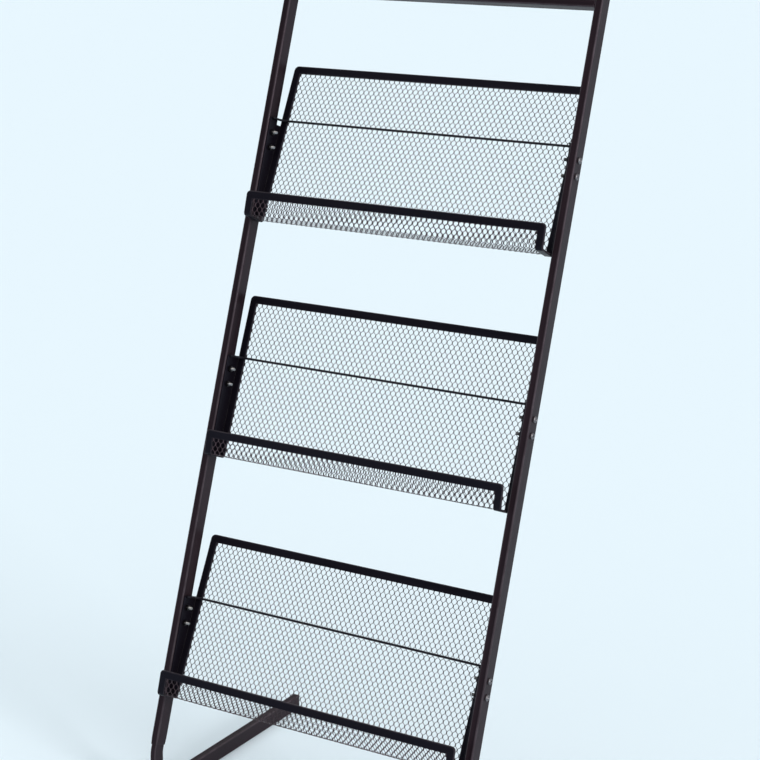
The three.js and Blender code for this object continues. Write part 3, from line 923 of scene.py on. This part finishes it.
def boltShape():
    shank, head, high = bolt["shank"], bolt["head"], bolt["height"]
    end = -(headSeat - nutSeat + nut["height"] + bolt["tip"])
    profile = [(shank - inset, end + up) for inset, up in bolt["end"]]
    for k in range(bolt["threads"]):  # in rings
        crest = end + bolt["threadStart"] + bolt["threadStep"] * k
        profile += [(shank, crest), (shank - bolt["threadDeep"], crest + bolt["threadStep"] / 2)]
    profile += [(shank, end + bolt["threadEnd"]), (shank, 0.0)]
    profile += [(head - bolt["brim"], 0.0), (head, bolt["brim"])]
    for k in range(bolt["domeSteps"] + 1):  # the head's dome
        turn, rise = quarter * k / bolt["domeSteps"], high - bolt["domeStart"]
        wide = head * math.cos(turn * bolt["domeSweep"]) ** bolt["domeFull"]
        profile.append((wide, bolt["domeStart"] + rise * math.sin(turn)))
    shape = lathe("bolt_shape", profile, bolt["around"])
    heights = (high - bolt["slotDeep"], high + bolt["slotClear"])
    for turn in (0, quarter):
        c, s, corners = math.cos(turn), math.sin(turn), []
        for z, (longer, wider) in zip(heights, bolt["slotTaper"]):
            for sx, sy in ((-1, -1), (1, -1), (1, 1), (-1, 1)):
                a, b = sx * bolt["slot"] / 2 * longer, sy * bolt["slotHalf"] * wider
                corners.append((a * c - b * s, a * s + b * c, z))
        carve(shape, solidObject("cross", corners, ringFaces(2, 4, False)), "DIFFERENCE")
    return shape


def nutShape():
    reach, high, bore = nut["across"] / math.sqrt(3), nut["height"], nut["bore"]
    turns = [k * math.pi / 3 for k in range(6)]
    corners = [(reach * math.cos(a), reach * math.sin(a), z) for z in (0.0, high) for a in turns]
    shape = solidObject("nut_shape", corners, ringFaces(2, 6, False))
    hair, wide, drop = nut["hair"], reach + nut["spare"], nut["chamfer"]
    flat = nut["across"] / 2 * nut["chamferShare"]
    barrel = [(hair, -hair), (flat, -hair), (wide, drop)]
    barrel += [(wide, high - drop), (flat, high + hair), (hair, high + hair)]
    carve(shape, lathe("barrel", barrel, nut["barrelAround"]), "INTERSECT")
    clear, ease, wider = nut["boreClear"], nut["boreEase"], bore + nut["boreWider"]
    hole = [(wider, -clear), (bore, ease), (bore, high - ease), (wider, high + clear)]
    carve(shape, lathe("bore", hole, nut["around"]), "DIFFERENCE")
    return shape


def fastenerTree():
    tree, board, given = newTree("fasteners", {
        "Seats": "Geometry", "Shape": "Object", "Seed": "Int", "Metal": "Material",
    })
    shape = givenShape(board, given["Shape"])
    turn = board.node("GeometryNodeInputNamedAttribute", {"data_type": "FLOAT_VECTOR"}, {"Name": "facing"})
    facing = board.node("FunctionNodeEulerToRotation", None, {"Euler": turn})
    limits = {2: 0.0, 3: 2 * math.pi, "Seed": given["Seed"]}
    chance = board.node("FunctionNodeRandomValue", {"data_type": "FLOAT"}, limits, 1)
    spin = board.node("FunctionNodeAxisAngleToRotation", None, {"Axis": (0, 0, 1), "Angle": chance})
    both = {"Rotation": facing, "Rotate By": spin}
    turned = board.node("FunctionNodeRotateRotation", {"rotation_space": "LOCAL"}, both)
    laid = {"Points": given["Seats"], "Instance": shape, "Rotation": turned}
    finishTree(board, board.node("GeometryNodeInstanceOnPoints", None, laid), given["Metal"])
    return tree


def fastenerSeats(reach, outward):  # where the bolts or nuts sit, and which way they look
    spots, facing = [], []
    for level in trayLevels.values():
        for sign in sides.values():
            for drop in (0.0, bolt["spacing"]):
                spots.append(tuple((level @ Vector((sign * reach, halfDepth, -drop))) * mm))
                facing.append((0.0, sign * outward * quarter, 0.0))
    mesh = bpy.data.meshes.new("seats")
    mesh.from_pydata(spots, [], [])
    addValues(mesh, "facing", facing)
    return mesh


holders = fastenerTree()
ends = [f"{name}_{side}_{end}" for name in hang for side in sides for end in ("top", "low")]
headFrom = headSeat - bolt["headUnder"]
for kind, sizes, shape, reach, outward, metal, slot in (
    ("bolt", bolt, boltShape(), headSeat, 1, zinc, "zinc_steel"),
    ("nut", nut, nutShape(), nutSeat, -1, blackNut, "coated_steel"),
):
    wanted = {"Shape": shape, "Seed": sizes["seed"], "Metal": metal}
    mesh = runTree(holders, kind, fastenerSeats(reach, outward), wanted)
    bpy.data.objects.remove(shape)
    addValues(mesh, "head", [1.0 if abs(v.co.x) / mm > headFrom else 0.0 for v in mesh.vertices])
    seatMesh(f"tray_{kind}s", mesh, [f"{end}_{kind}" for end in ends], sizes["sharp"])
    print(kind, "set made,", len(mesh.polygons), "faces")


stage = {
    "half": 60.0,
    "floor": (0.765, 0.878, 0.940, 1),
    "rough": 0.9,
    "low": (0.79, 0.90, 0.96, 1),  # the pale wall all round, as high as the other views see
    "high": (0.20, 0.205, 0.21, 1),
    "climb": (0.12, 0.34),  # where it passes from one to the other
}
lamps = {  # where each shines from, its strength, its spread in degrees and its colour
    "ceiling": ((0, 0.3, 4), 1.65, 110, (1, 1, 1)),
    "right_window": ((3.0, -0.9, 2.9), 0.7, 50, (1.0, 0.98, 0.96)),
    "low_window": ((4.0, -1.2, 1.3), 1.55, 14, (1.0, 0.97, 0.96)),
}
view = {
    "spot": (1.2551, -2.0195, 1.2013),
    "azimuth": 31.574,
    "elevation": 14.089,
    "focal": 2013.7,  # in pixels
    "pixels": 760,
    "sensor": 36.0,
    "shift": -0.06,
}
floorMesh = bpy.data.meshes.new("floor")
corners = [(x * stage["half"], y * stage["half"], 0) for x, y in ((-1, -1), (1, -1), (1, 1), (-1, 1))]
floorMesh.from_pydata(corners, [], [(0, 1, 2, 3)])
floor = bpy.data.objects.new("floor", floorMesh)
scene.collection.objects.link(floor)
floorLook = {"Base Color": stage["floor"], "Roughness": stage["rough"], "Specular IOR Level": 0.0}
floorMesh.materials.append(newFinish("floor_finish", floorLook)[0])

world = bpy.data.worlds.new("studio")
scene.world = world
world.use_nodes = True
sky = Board(world.node_tree)
ray = sky.node("ShaderNodeTexCoord", None, None, "Generated")
height = sky.node("ShaderNodeSeparateXYZ", None, {"Vector": ray}, "Z")
climb = sky.span(height, *stage["climb"], 0.0, 1.0)
feed(sky, world.node_tree.nodes["Background"], {"Color": sky.blend(climb, stage["low"], stage["high"])})

for name, (spot, energy, spread, tint) in lamps.items():
    lamp = bpy.data.lights.new(name, "SUN")
    lamp.energy, lamp.angle, lamp.color = energy, math.radians(spread), tint
    holder = bpy.data.objects.new(name, lamp)
    holder.location = spot
    holder.rotation_euler = Vector(spot).to_track_quat("Z", "Y").to_euler()
    scene.collection.objects.link(holder)

camera = bpy.data.cameras.new("camera")
camera.sensor_width = view["sensor"]
camera.lens = view["focal"] / view["pixels"] * view["sensor"]
camera.shift_y = view["shift"]
holder = bpy.data.objects.new("camera", camera)
holder.location = view["spot"]
holder.rotation_euler = (math.radians(90 - view["elevation"]), 0, math.radians(view["azimuth"]))
scene.collection.objects.link(holder)
scene.camera = holder
print("stage, lamps and camera set")
